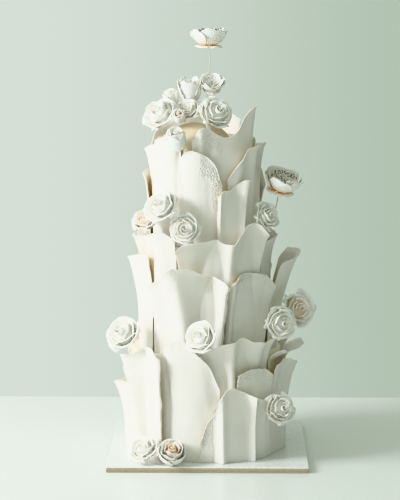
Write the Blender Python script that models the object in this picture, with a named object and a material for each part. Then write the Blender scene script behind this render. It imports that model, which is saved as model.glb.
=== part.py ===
"""Three-tier wedding cake in ruffled sugar sheets, with sugar roses, on its square board.

Run it with blender --background --python part.py, or from Blender's text editor.
Metres, +Z up. The front is -Y and the origin is the centre of the board's underside.
Sizes below are in millimetres and degrees. A bearing is an angle round the cake's axis:
0 is the front, 90 the right-hand side and 180 the back.
"""

import math
from dataclasses import dataclass

import bmesh
import bpy
from mathutils import Matrix, Vector

MM = 0.001
GAP = 0.3

BOARD_SIDE = 300.0
BOARD_THICK = 9.0
BOARD_EDGE = 0.8
CAKE_X = -4.0

TIER_RADII = (115.0, 95.0, 75.0)
TIER_TOPS = (165.0, 325.0, 485.0)
TIER_SIDES = 36
TIER_EDGE = 5.0

# The mound of icing under the top flowers: its centre from the cake's axis, and its reach along each axis.
MOUND_AT = (-14.0, -31.0, 477.0)
MOUND_REACH = (52.0, 40.0, 31.5)

SHEET_THICK = 2.5
LAYER_STEP = 3.5
COLUMN_DEGREES = 6.0
LEAST_DEGREES = 2.0
ROW_SHARES = (0.0, 0.5, 0.8, 1.0)

FONDANT = (0.93, 0.90, 0.83, 1.0)
PETAL = (0.95, 0.92, 0.85, 1.0)
BOARD_WHITE = (0.86, 0.86, 0.84, 1.0)
WIRE_WHITE = (0.80, 0.80, 0.78, 1.0)


@dataclass(frozen=True)
class Fold:
    """A crest (out > 0) or a valley (out < 0) that runs up a sheet.

    at is its share of the width at the rim and foot_at at the foot, wide its half width,
    out its depth at the rim, and keep the share of that depth left at the foot.
    """

    at: float
    out: float
    wide: float = 0.12
    keep: float = 0.35
    foot_at: float | None = None


@dataclass(frozen=True)
class Sheet:
    """One ruffled sheet: its bearings at the foot and at the rim, and its rim's heights from left to right.

    layer says how many sheets lie under it. From the share hang of its height upwards it leaves the wall,
    and its rim stands flare outwards.
    """

    name: str
    tier: int
    layer: int
    foot: float
    foot_span: tuple
    rim_span: tuple
    rim: tuple
    flare: float
    folds: tuple = ()
    hang: float = 0.35


@dataclass(frozen=True)
class Flower:
    """One sugar flower, by its centre (bearing, distance out, height), its size and where it looks."""

    name: str
    kind: str
    bearing: float
    out: float
    up: float
    size: float
    looks: float
    tips: float
    spin: float = 0.0


FLOOR = BOARD_THICK + GAP
LEDGE_1 = TIER_TOPS[0] + GAP
LEDGE_2 = TIER_TOPS[1] + GAP

SHEETS = (
    # bottom tier, from the left round the front to the right
    Sheet("sheet_1_left_inner", 0, 0, FLOOR, (-104, -62), (-104, -62), (126, 131, 131, 127), 8),
    Sheet("sheet_1_left_low", 0, 1, FLOOR, (-118, -49), (-118, -60), (98, 104, 108, 113, 119), 13,
          (Fold(0.3, -4, 0.1, 0.3), Fold(0.55, 7, 0.09, 0.5), Fold(0.8, -5, 0.1, 0.5))),
    Sheet("sheet_1_left_tall", 0, 2, FLOOR, (-46, -28), (-60, -27), (164, 167, 175, 180, 178, 168), 11,
          (Fold(0.03, 12, 0.15, 0.6), Fold(0.42, -10, 0.15, 0.6), Fold(0.94, 12, 0.14, 1.0)), 0.1),
    Sheet("sheet_1_front_tall", 0, 1, FLOOR, (-41, 14), (-42, 10),
          (150, 166, 183, 193, 192, 174, 158, 122), 11,
          (Fold(0.06, -13, 0.13, 0.3), Fold(0.24, -8, 0.06, 0.8), Fold(0.5, 4, 0.25, 0.3),
           Fold(1.0, -6, 0.12, 1.0))),
    Sheet("sheet_1_right_tall", 0, 0, 46, (4, 52), (-3, 51), (176, 183, 193, 198, 190, 188, 190), 17,
          (Fold(0.0, -11, 0.14), Fold(0.22, -5, 0.08), Fold(0.37, 13, 0.07, 0.3), Fold(0.55, -9, 0.09),
           Fold(0.76, 5, 0.08, 0.0), Fold(0.92, -4, 0.08, 0.0)), 0.6),
    Sheet("sheet_1_front_wing", 0, 2, FLOOR, (-5, 10), (-3, 11), (40, 70, 84, 93), 3),
    Sheet("sheet_1_front_low", 0, 3, FLOOR, (6, 46), (5, 44), (92, 117, 123, 118, 109, 103, 98), 5,
          (Fold(0.15, 10, 0.07, 0.8), Fold(0.42, -2, 0.12, 1.0), Fold(0.67, 16, 0.055, 0.6),
           Fold(0.84, -4, 0.07, 0.9))),
    Sheet("sheet_1_right_low", 0, 2, FLOOR, (21.5, 51), (21.5, 51), (140, 147, 148, 146, 136), 4,
          (Fold(0.95, 3, 0.1, 0.0),)),
    Sheet("sheet_1_right_outer", 0, 1, FLOOR, (51.8, 98), (51.8, 98), (150, 154, 148, 138, 134), 14,
          (Fold(0.25, -5, 0.1, 0.6), Fold(0.55, 5, 0.1, 0.6), Fold(0.8, -4, 0.1, 0.6))),
    Sheet("sheet_1_right_flared", 0, 0, 60, (53, 104), (52.2, 104), (174, 165, 167, 170, 172, 168), 27,
          (Fold(0.25, -10, 0.1), Fold(0.6, 5, 0.12, 0.0)), 0.78),
    Sheet("sheet_1_back_right", 0, 0, FLOOR, (106, 152), (106, 152), (170, 178, 186, 182, 172), 14,
          (Fold(0.3, 7), Fold(0.65, -6)), 0.55),
    Sheet("sheet_1_back", 0, 1, FLOOR, (148, 204), (148, 204), (150, 168, 182, 188, 180, 166), 12,
          (Fold(0.2, 7), Fold(0.5, -5), Fold(0.8, 7))),
    Sheet("sheet_1_back_left", 0, 0, FLOOR, (200, 254), (200, 254), (172, 184, 190, 180, 170, 160), 14,
          (Fold(0.3, -6), Fold(0.6, 8)), 0.55),
    # middle tier
    Sheet("sheet_2_left_low", 1, 1, LEDGE_1, (-108, -54), (-116, -50), (292, 299, 304, 311, 316), 12,
          (Fold(0.3, -4, 0.1), Fold(0.5, 5, 0.08), Fold(0.78, -5, 0.1))),
    Sheet("sheet_2_front_low", 1, 1, LEDGE_1, (-50, 14), (-48, 18),
          (266, 274, 281, 290, 301, 300, 298, 291, 289, 283, 272), 13,
          (Fold(0.1, 4, 0.1, 0.3), Fold(0.36, 15, 0.13, 0.75, 0.57), Fold(0.5, 6, 0.3, 0.8),
           Fold(0.79, -12, 0.13, 0.8), Fold(0.96, 13, 0.08, 0.9))),
    Sheet("sheet_2_right_low", 1, 1, LEDGE_1, (15, 58), (19.2, 64), (276, 287, 289, 287, 281, 262), 10,
          (Fold(0.1, 7, 0.07, 0.9), Fold(0.4, -14, 0.18, 0.6), Fold(0.97, 7, 0.15))),
    Sheet("sheet_2_right_flared", 1, 1, LEDGE_1, (66, 106), (66, 112), (300, 303, 310, 314, 312, 300), 22,
          (Fold(0.45, 20, 0.3, 0.4),), 0.2),
    Sheet("sheet_2_left_high", 1, 0, 236, (-98, -27), (-98, -25), (336, 338, 339, 340, 346, 350, 343), 11,
          (Fold(0.33, 5, 0.09, 0.0), Fold(0.52, -9, 0.08, 0.6), Fold(0.78, 6, 0.12, 0.6)), 0.5),
    Sheet("sheet_2_front_high", 1, 0, 240, (-21, 52), (-22, 53),
          (325, 334, 337, 338, 339, 341, 334, 336, 347, 358, 363, 362, 345), 13,
          (Fold(0.0, 11, 0.2, 0.6), Fold(0.4, -9, 0.15, 0.6), Fold(0.57, 11, 0.06, 0.5),
           Fold(0.82, -9, 0.1), Fold(1.0, 8, 0.08, 0.3)), 0.35),
    Sheet("sheet_2_right_back_high", 1, 0, 236, (57, 104), (57, 104), (333, 336, 340, 342, 338), 9,
          (Fold(0.4, 4), Fold(0.7, -4)), 0.55),
    Sheet("sheet_2_back_right_low", 1, 1, LEDGE_1, (110, 172), (114, 174), (282, 296, 306, 300, 290, 280), 10,
          (Fold(0.3, 7), Fold(0.6, -4), Fold(0.85, 6))),
    Sheet("sheet_2_back_left_low", 1, 1, LEDGE_1, (178, 246), (178, 240), (270, 288, 302, 308, 300, 286), 10,
          (Fold(0.25, 7), Fold(0.5, -4), Fold(0.75, 7))),
    Sheet("sheet_2_back_right_high", 1, 0, 236, (106, 184), (106, 184), (336, 346, 354, 348, 338, 334), 10,
          (Fold(0.35, 5), Fold(0.7, -4)), 0.55),
    Sheet("sheet_2_back_left_high", 1, 0, 236, (186, 260), (186, 260), (334, 344, 352, 356, 344, 336), 10,
          (Fold(0.3, -4), Fold(0.65, 5)), 0.55),
    # top tier
    Sheet("sheet_3_front_lace", 2, 2, LEDGE_2, (-27, 16), (-27, 17), (459, 469, 472, 470, 462, 449, 420), 4,
          (Fold(0.0, -4, 0.1, 0.8), Fold(0.4, 4, 0.25, 0.5))),
    Sheet("sheet_3_right_low", 2, 3, LEDGE_2, (11, 41), (11, 45), (404, 413, 413, 421, 428, 428), 5,
          (Fold(0.08, 7, 0.07, 0.8), Fold(0.5, -6, 0.14, 0.8), Fold(0.85, 8, 0.09, 0.8))),
    Sheet("sheet_3_right", 2, 1, LEDGE_2, (26, 98), (22, 98),
          (432, 452, 468, 475, 477, 478, 478, 477, 474), 8,
          (Fold(0.16, 7, 0.08, 0.0), Fold(0.42, 6, 0.09, 0.3), Fold(0.6, -8, 0.07, 0.8)), 0.5),
    Sheet("sheet_3_left", 2, 0, LEDGE_2, (-98, -28), (-98, -28), (464, 469, 476, 484, 491, 494), 9,
          (Fold(0.2, 5, 0.08, 0.5), Fold(0.45, -5, 0.1), Fold(0.75, 5, 0.2, 0.6),
           Fold(1.0, -6, 0.06, 0.8)), 0.5),
    Sheet("sheet_3_left_low", 2, 2, LEDGE_2, (-150, -82), (-150, -78), (400, 416, 430, 434, 429), 7,
          (Fold(0.5, 4), Fold(0.95, 3))),
    Sheet("sheet_3_top_front", 2, 0, 396, (-14, 60), (-14, 61),
          (486, 503, 505, 497, 491, 492, 501, 522, 533, 535), 6,
          (Fold(0.13, 9, 0.08, 0.3), Fold(0.5, -4, 0.2), Fold(0.95, 4)), 0.55),
    Sheet("sheet_3_back_low", 2, 2, LEDGE_2, (104, 176), (104, 176), (410, 430, 446, 440, 426, 412), 8,
          (Fold(0.3, 6), Fold(0.7, 6))),
    Sheet("sheet_3_back", 2, 0, LEDGE_2, (142, 260), (142, 260), (508, 522, 532, 534, 508, 490, 472), 8,
          (Fold(0.25, 4, 0.12, 0.0), Fold(0.5, -3), Fold(0.75, 5, 0.12, 0.0)), 0.5),
)

FLOWERS = (
    Flower("rose_board_front", "rose", -18.8, 148, 26.4, 47, 2, 48, 10),
    Flower("rose_board_left", "open", -35.5, 148, 22.5, 47, -35, 50, 40),
    Flower("rose_right_foot", "rose", 48, 147, 84, 47, 25, 18, 20),
    Flower("rose_left_side", "open", -59, 136, 186, 55, -30, 35, 0),
    Flower("rose_front_middle", "rose", -1, 136, 198, 49, -35, 30, 60),
    Flower("rose_right_middle", "rose", 55, 134.5, 210, 49, 25, 8, 0),
    Flower("rose_right_back", "open", 77.5, 139, 224, 59.4, 25, 15, 30),
    Flower("rose_left_upper", "rose", -33, 112, 387, 54, -32, 35, 15),
    Flower("rose_left_lower", "open", -53, 102, 360, 45, -38, 45, 50),
    Flower("rose_front_upper", "rose", -15, 109, 356, 45, -5, 12, 35),
    Flower("flower_right_wired", "cup", 75, 116, 408, 62, 40, 68, 0),
    Flower("rose_right_upper", "open", 59, 99, 367, 43, 45, 20, 80),
    Flower("rose_top_left", "rose", -62, 74, 518, 55, -40, 42, 25),
    Flower("bud_top_left", "bud", -25.5, 98.7, 487, 32, -15, 60, 0),
    Flower("bud_top_front", "bud", -33.5, 72, 519, 21, -10, 40, 0),
    Flower("rose_top_right", "rose", 11, 54, 521, 51, 24, 30, 45),
    Flower("rose_top_middle", "open", -49, 33, 521, 37, -15, 35, 0),
    Flower("flower_top_left_open", "bud", -80, 26, 555.2, 38, -20, 78, 0),
    Flower("bud_top_back", "bud", -86, 53.5, 543, 25, -40, 65, 0),
    Flower("flower_top_cup", "cup", 75, 7.5, 559, 40, 15, 52, 20),
    Flower("flower_top_wired", "cup", 90, 5, 627.5, 57, 0, 88, 0),
    Flower("rose_back", "rose", 170, 116.8, 350, 46, 178, 25, 0),
)

# Rings of a flower from its stalk to its heart: radius, height, and how far the petals' tips rise and fall.
FLOWER_RINGS = {
    "rose": ((0.18, 0.05, 0.0), (0.42, 0.22, 0.0), (0.50, 0.50, 0.06), (0.39, 0.45, 0.0), (0.32, 0.66, 0.05),
             (0.22, 0.56, 0.0), (0.14, 0.72, 0.03)),
    "open": ((0.14, 0.03, 0.0), (0.38, 0.18, 0.0), (0.52, 0.46, 0.09), (0.39, 0.36, 0.0), (0.30, 0.56, 0.06),
             (0.19, 0.40, 0.0), (0.11, 0.52, 0.03)),
    "cup": ((0.10, 0.02, 0.0), (0.34, 0.12, 0.0), (0.50, 0.50, 0.06), (0.44, 0.46, 0.05), (0.27, 0.20, 0.0),
            (0.17, 0.22, 0.0), (0.13, 0.36, 0.03)),
    "bud": ((0.14, 0.02, 0.0), (0.42, 0.28, 0.0), (0.50, 0.62, 0.02), (0.40, 0.96, 0.05), (0.30, 0.90, 0.0),
            (0.20, 1.04, 0.04), (0.12, 0.98, 0.0)),
}
FLOWER_HEART = {"rose": 0.66, "open": 0.46, "cup": 0.34, "bud": 1.04}
PETALS = 5
FLOWER_SIDES = 10

WIRE_RADIUS = 0.7
WIRES = (
    ("wire_top", ((0, 24, 485.6), (1, 24, 550), (5, 17, 590), (5, 0, 617.1))),
    ("wire_right", ((88, -18, 326), (92, -26, 350), (105, -28, 378), (109.2, -26.6, 397.2))),
)


def clear_scene():
    """Removes whatever the scene holds."""
    for item in list(bpy.data.objects):
        bpy.data.objects.remove(item, do_unlink=True)


def material(name, colour, roughness, metallic=0.0):
    """A Principled material of one colour."""
    made = bpy.data.materials.new(name)
    made.use_nodes = True
    shader = made.node_tree.nodes["Principled BSDF"]
    shader.inputs["Base Color"].default_value = colour
    shader.inputs["Roughness"].default_value = roughness
    shader.inputs["Metallic"].default_value = metallic
    made.diffuse_color = colour
    return made


def add_object(name, bm, finish, parent):
    """Turns a bmesh into a named object under parent, its normals outwards and its round faces smooth."""
    bmesh.ops.recalc_face_normals(bm, faces=bm.faces)
    mesh = bpy.data.meshes.new(name)
    bm.to_mesh(mesh)
    bm.free()
    mesh.materials.append(finish)
    mesh.shade_smooth()
    mesh.set_sharp_from_angle(angle=math.radians(50))
    made = bpy.data.objects.new(name, mesh)
    bpy.context.collection.objects.link(made)
    made.parent = parent
    return made


def on_cake(bearing, out, up):
    """A point by its bearing and distance from the cake's axis and its height, in metres."""
    turn = math.radians(bearing)
    return Vector((out * math.sin(turn), -out * math.cos(turn), up)) * MM


def smooth_through(values, share):
    """The value at share of the way along a smooth line through evenly spaced values."""
    last = len(values) - 1
    at = min(max(share, 0.0), 1.0) * last
    start = min(int(at), last - 1)
    t = at - start
    before, low, high, after = (values[min(max(start + k, 0), last)] for k in (-1, 0, 1, 2))
    return 0.5 * (2 * low + (high - before) * t + (2 * before - 5 * low + 4 * high - after) * t * t
                  + (3 * low - before - 3 * high + after) * t ** 3)


def stand_off(sheet, across, up):
    """How far the outer side of a sheet stands off its tier's wall, in millimetres."""
    wall = LAYER_STEP * (1 + sheet.layer)
    loose = max(0.0, up - sheet.hang) / (1 - sheet.hang)
    out = wall + sheet.flare * loose ** 2
    for fold in sheet.folds:
        foot_at = fold.at if fold.foot_at is None else fold.foot_at
        middle = foot_at + (fold.at - foot_at) * up
        depth = fold.out * (fold.keep + (1 - fold.keep) * up)
        out += depth * math.exp(-((across - middle) / fold.wide) ** 2)
    return max(out, wall)


def sheet_point(sheet, across, up, inward=0.0):
    """A point on a sheet, inward millimetres behind its outer side."""
    at_foot = sheet.foot_span[0] + (sheet.foot_span[1] - sheet.foot_span[0]) * across
    at_rim = sheet.rim_span[0] + (sheet.rim_span[1] - sheet.rim_span[0]) * across
    bearing = at_foot + (at_rim - at_foot) * up
    height = sheet.foot + (smooth_through(sheet.rim, across) - sheet.foot) * up
    out = TIER_RADII[sheet.tier] + stand_off(sheet, across, up) - inward
    return on_cake(bearing, out, height)


def sheet_columns(sheet):
    """Shares of the width where a sheet has its corners: its ends, its folds and even steps between."""
    width = sheet.rim_span[1] - sheet.rim_span[0]
    close = LEAST_DEGREES / width
    stops = [0.0, 1.0]
    for fold in sheet.folds:
        for stop in (fold.at, fold.at - fold.wide, fold.at + fold.wide):
            if all(abs(stop - other) > close for other in stops) and 0.0 < stop < 1.0:
                stops.append(stop)
    stops.sort()
    columns = [0.0]
    for left, right in zip(stops, stops[1:]):
        steps = max(1, round((right - left) * width / COLUMN_DEGREES))
        columns += [left + (right - left) * (k + 1) / steps for k in range(steps)]
    return columns


def make_sheet(sheet, finish, parent):
    """One ruffled sheet as a closed solid: an outer and an inner skin, joined round their edges."""
    columns = sheet_columns(sheet)
    bm = bmesh.new()
    outer, inner = (
        [[bm.verts.new(sheet_point(sheet, across, up, inward)) for across in columns] for up in ROW_SHARES]
        for inward in (0.0, SHEET_THICK)
    )
    rows, wide = len(ROW_SHARES) - 1, len(columns) - 1
    for row in range(rows):
        for column in range(wide):
            for skin in (outer, inner):
                bm.faces.new((skin[row][column], skin[row][column + 1],
                              skin[row + 1][column + 1], skin[row + 1][column]))
    round_edge = [(0, c) for c in range(wide)] + [(r, wide) for r in range(rows)]
    round_edge += [(rows, c) for c in range(wide, 0, -1)] + [(r, 0) for r in range(rows, 0, -1)]
    for (r, c), (next_r, next_c) in zip(round_edge, round_edge[1:] + round_edge[:1]):
        bm.faces.new((outer[r][c], outer[next_r][next_c], inner[next_r][next_c], inner[r][c]))
    return add_object(sheet.name, bm, finish, parent)


def make_tier(name, radius, low, high, finish, parent):
    """One round tier with a softened upper edge."""
    bm = bmesh.new()
    bmesh.ops.create_cone(bm, cap_ends=True, segments=TIER_SIDES, radius1=radius * MM, radius2=radius * MM,
                          depth=(high - low) * MM)
    bmesh.ops.translate(bm, verts=bm.verts, vec=(0, 0, (high + low) / 2 * MM))
    top_edges = [edge for edge in bm.edges if all(corner.co.z > (high - 1) * MM for corner in edge.verts)]
    bmesh.ops.bevel(bm, geom=top_edges, offset=TIER_EDGE * MM, segments=1, affect="EDGES")
    return add_object(name, bm, finish, parent)


def add_mound(tier, finish, parent):
    """The mound of icing on the top tier that the flowers above it are set in, united with the tier."""
    bm = bmesh.new()
    bmesh.ops.create_uvsphere(bm, u_segments=18, v_segments=10, radius=1.0)
    bmesh.ops.scale(bm, verts=bm.verts, vec=Vector(MOUND_REACH) * MM)
    bmesh.ops.translate(bm, verts=bm.verts, vec=Vector(MOUND_AT) * MM)
    mound = add_object("mound", bm, finish, parent)
    mound.hide_render = True
    mound.display_type = "WIRE"
    union = tier.modifiers.new("mound", "BOOLEAN")
    union.operation = "UNION"
    union.object = mound


def make_board(finish):
    """The square board, with its corners and edges just broken."""
    bm = bmesh.new()
    bmesh.ops.create_cube(bm, size=1.0)
    bmesh.ops.scale(bm, verts=bm.verts, vec=(BOARD_SIDE * MM, BOARD_SIDE * MM, BOARD_THICK * MM))
    bmesh.ops.translate(bm, verts=bm.verts, vec=(0, 0, BOARD_THICK / 2 * MM))
    bmesh.ops.bevel(bm, geom=bm.edges[:], offset=BOARD_EDGE * MM, segments=1, affect="EDGES")
    return add_object("board", bm, finish, None)


def make_flower(flower, finish, parent):
    """One sugar flower: rings of petals round a heart, looking along its own +Z, then turned and placed."""
    bm = bmesh.new()
    rings = []
    middle = FLOWER_HEART[flower.kind] / 2
    for index, (radius, height, wave) in enumerate(FLOWER_RINGS[flower.kind]):
        ring = []
        for side in range(FLOWER_SIDES):
            turn = 2 * math.pi * side / FLOWER_SIDES + math.radians(flower.spin)
            tip = math.cos(PETALS * (2 * math.pi * side / FLOWER_SIDES) + math.pi * (index // 2))
            reach = radius * (1 + 0.5 * wave * tip)
            ring.append(bm.verts.new(Vector((reach * math.cos(turn), reach * math.sin(turn),
                                             height + wave * tip - middle)) * flower.size * MM))
        rings.append(ring)
    stalk = bm.verts.new((0, 0, -middle * flower.size * MM))
    heart = bm.verts.new((0, 0, (FLOWER_HEART[flower.kind] - middle) * flower.size * MM))
    for k in range(FLOWER_SIDES):
        after = (k + 1) % FLOWER_SIDES
        bm.faces.new((stalk, rings[0][after], rings[0][k]))
        bm.faces.new((heart, rings[-1][k], rings[-1][after]))
        for lower, upper in zip(rings, rings[1:]):
            bm.faces.new((lower[k], lower[after], upper[after], upper[k]))
    made = add_object(flower.name, bm, finish, parent)
    made.location = on_cake(flower.bearing, flower.out, flower.up)
    looking = Matrix.Rotation(math.radians(flower.looks), 4, "Z") @ Matrix.Rotation(
        math.radians(90 - flower.tips), 4, "X")
    made.rotation_euler = looking.to_euler()
    return made


def make_wire(name, points, finish, parent):
    """The wire that carries a flower, as a round curve with filled ends."""
    curve = bpy.data.curves.new(name, "CURVE")
    curve.dimensions = "3D"
    curve.bevel_depth = WIRE_RADIUS * MM
    curve.bevel_resolution = 1
    curve.use_fill_caps = True
    spline = curve.splines.new("POLY")
    spline.points.add(len(points) - 1)
    for corner, point in zip(spline.points, points):
        corner.co = (*(Vector(point) * MM), 1.0)
    curve.materials.append(finish)
    made = bpy.data.objects.new(name, curve)
    bpy.context.collection.objects.link(made)
    made.parent = parent
    return made


def main():
    """Builds the board, the tiers, the sheets, the flowers and their wires."""
    clear_scene()
    fondant = material("fondant", FONDANT, 0.55)
    petal = material("petal", PETAL, 0.5)
    make_board(material("board", BOARD_WHITE, 0.35))
    cake = bpy.data.objects.new("cake_axis", None)
    cake.location = (CAKE_X * MM, 0, 0)
    bpy.context.collection.objects.link(cake)
    low = FLOOR
    for name, radius, high in zip(("tier_bottom", "tier_middle", "tier_top"), TIER_RADII, TIER_TOPS):
        tier = make_tier(name, radius, low, high, fondant, cake)
        low = high + GAP
    add_mound(tier, fondant, cake)
    for sheet in SHEETS:
        make_sheet(sheet, fondant, cake)
    for flower in FLOWERS:
        make_flower(flower, petal, cake)
    wire = material("wire", WIRE_WHITE, 0.4)
    for name, points in WIRES:
        make_wire(name, points, wire, cake)


main()
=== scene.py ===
"""Looks of the three-tier wedding cake: ruffled sugar sheets, sugar flowers, board, light and camera.

Lengths in the tables are millimetres and angles are degrees, as in the part's own source. A bearing is an angle
round the cake's axis: 0 is the front, 90 the right-hand side and 180 the back.
"""

import logging
import math
from dataclasses import dataclass, field
from enum import Enum

import bpy
import numpy as np
from mathutils import Euler, Matrix, Vector

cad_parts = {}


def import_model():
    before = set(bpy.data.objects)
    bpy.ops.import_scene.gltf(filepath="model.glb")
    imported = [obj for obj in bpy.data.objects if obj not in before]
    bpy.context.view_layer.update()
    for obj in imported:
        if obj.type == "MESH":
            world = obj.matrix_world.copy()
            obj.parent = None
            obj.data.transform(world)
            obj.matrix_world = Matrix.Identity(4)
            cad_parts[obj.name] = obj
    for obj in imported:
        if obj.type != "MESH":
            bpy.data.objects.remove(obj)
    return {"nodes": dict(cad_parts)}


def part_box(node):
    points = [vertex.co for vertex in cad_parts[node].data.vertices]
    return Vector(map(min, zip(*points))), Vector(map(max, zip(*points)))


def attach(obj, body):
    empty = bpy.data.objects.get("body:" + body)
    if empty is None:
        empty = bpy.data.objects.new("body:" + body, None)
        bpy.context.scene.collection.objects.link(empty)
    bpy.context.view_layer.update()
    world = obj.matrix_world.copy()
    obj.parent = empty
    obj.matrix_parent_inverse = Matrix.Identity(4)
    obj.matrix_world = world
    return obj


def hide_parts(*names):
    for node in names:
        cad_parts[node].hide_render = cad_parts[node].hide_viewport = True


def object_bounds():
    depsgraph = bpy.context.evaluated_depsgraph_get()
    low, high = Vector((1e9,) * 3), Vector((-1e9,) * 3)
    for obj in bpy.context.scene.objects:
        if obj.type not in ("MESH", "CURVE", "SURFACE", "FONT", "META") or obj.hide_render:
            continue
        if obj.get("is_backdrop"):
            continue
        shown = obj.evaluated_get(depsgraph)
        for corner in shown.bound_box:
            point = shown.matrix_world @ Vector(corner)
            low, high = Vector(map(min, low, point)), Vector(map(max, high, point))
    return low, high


LOG = logging.getLogger("wedding_cake")
MM = 0.001
CAKE_X = -4.0
BOARD_TOP = 9.0
GAP = 0.3
FLOOR = BOARD_TOP + GAP
TIER_RADII = (115.0, 95.0, 75.0)
TIER_TOPS = (165.0, 325.0, 485.0)
LEDGE_1 = TIER_TOPS[0] + GAP
LEDGE_2 = TIER_TOPS[1] + GAP
LAYER_STEP = 3.5


class Slot(Enum):
    """The record's material slots."""

    FONDANT = "fondant"
    PETAL = "petal"
    BOARD = "board"
    WIRE = "wire"


class Kind(Enum):
    """How a sugar flower is made up."""

    ROSE = "rose"
    OPEN = "open"
    CUP = "cup"
    BUD = "bud"
    TALL = "tall"
    GLOBE = "globe"


def deselect_all() -> None:
    """Leaves object mode with nothing selected."""
    if bpy.context.object is not None and bpy.context.object.mode != "OBJECT":
        bpy.ops.object.mode_set(mode="OBJECT")
    bpy.ops.object.select_all(action="DESELECT")


def make_active(obj: bpy.types.Object) -> None:
    """Selects one object alone and makes it the active one."""
    deselect_all()
    obj.select_set(True)
    bpy.context.view_layer.objects.active = obj


def apply_modifiers(obj: bpy.types.Object) -> None:
    """Applies every modifier of an object in order."""
    make_active(obj)
    for modifier in list(obj.modifiers):
        bpy.ops.object.modifier_apply(modifier=modifier.name)


def set_corners(mesh: bpy.types.Mesh, corners: np.ndarray) -> None:
    """Writes corner places, given in metres, into a mesh."""
    mesh.vertices.foreach_set("co", np.ascontiguousarray(corners, np.float32).ravel())
    mesh.update()


def get_corners(mesh: bpy.types.Mesh) -> np.ndarray:
    """Reads the corner places of a mesh as an array of rows."""
    corners = np.zeros(len(mesh.vertices) * 3, np.float32)
    mesh.vertices.foreach_get("co", corners)
    return corners.reshape(-1, 3).astype(float)


def lattice_value(i: np.ndarray, j: np.ndarray, seed: int) -> np.ndarray:
    """A fixed pseudo-random value in -1..1 for each whole lattice point."""
    mixed = (i * 73856093) ^ (j * 19349663) ^ (seed * 83492791)
    mixed = ((mixed & 0x7FFFFFFF) * 48271) & 0x7FFFFFFF
    mixed = ((mixed ^ (mixed >> 15)) * 69621) & 0x7FFFFFFF
    return ((mixed >> 8) & 0xFFFF) / 32767.5 - 1.0


def soft_noise(x: np.ndarray, y: np.ndarray, seed: int) -> np.ndarray:
    """Smooth value noise on a unit lattice.

    Args:
        x: Places along the first axis, in lattice steps.
        y: Places along the second axis, in lattice steps.
        seed: Picks one of many fixed patterns.

    Returns:
        Values from -1 to 1.
    """
    x, y = np.broadcast_arrays(np.asarray(x, float), np.asarray(y, float))
    i, j = np.floor(x).astype(np.int64), np.floor(y).astype(np.int64)
    u, v = x - i, y - j
    u, v = u * u * (3 - 2 * u), v * v * (3 - 2 * v)
    low = lattice_value(i, j, seed) * (1 - u) + lattice_value(i + 1, j, seed) * u
    high = lattice_value(i, j + 1, seed) * (1 - u) + lattice_value(i + 1, j + 1, seed) * u
    return low * (1 - v) + high * v


def ease(x: np.ndarray, low: float, high: float) -> np.ndarray:
    """A smooth step from 0 at low to 1 at high; low may lie above high."""
    t = np.clip((np.asarray(x, float) - low) / (high - low), 0.0, 1.0)
    return t * t * (3 - 2 * t)


def smooth_through(values: tuple[float, ...], share: np.ndarray) -> np.ndarray:
    """Values at shares of the way along a smooth line through evenly spaced values."""
    line = np.asarray(values, float)
    last = len(line) - 1
    at = np.clip(share, 0.0, 1.0) * last
    start = np.minimum(at.astype(int), last - 1)
    t = at - start
    before, low, high, after = (line[np.clip(start + k, 0, last)] for k in (-1, 0, 1, 2))
    return 0.5 * (2 * low + (high - before) * t + (2 * before - 5 * low + 4 * high - after) * t * t
                  + (3 * low - before - 3 * high + after) * t ** 3)


def dense_shares(count: int, dense: tuple[tuple[float, float, float], ...]) -> np.ndarray:
    """Shares from 0 to 1 that lie closer together in some stretches.

    Args:
        count: How many shares to give.
        dense: Stretches as (low, high, how many times closer).

    Returns:
        Rising shares whose first is 0 and whose last is 1.
    """
    fine = np.linspace(0.0, 1.0, 2001)
    weight = np.ones_like(fine)
    for low, high, times in dense:
        weight = np.maximum(weight, np.where((fine >= low) & (fine <= high), times, 1.0))
    total = np.concatenate([[0.0], np.cumsum((weight[1:] + weight[:-1]) / 2)])
    return np.interp(np.linspace(0.0, total[-1], count), total, fine)


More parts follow.
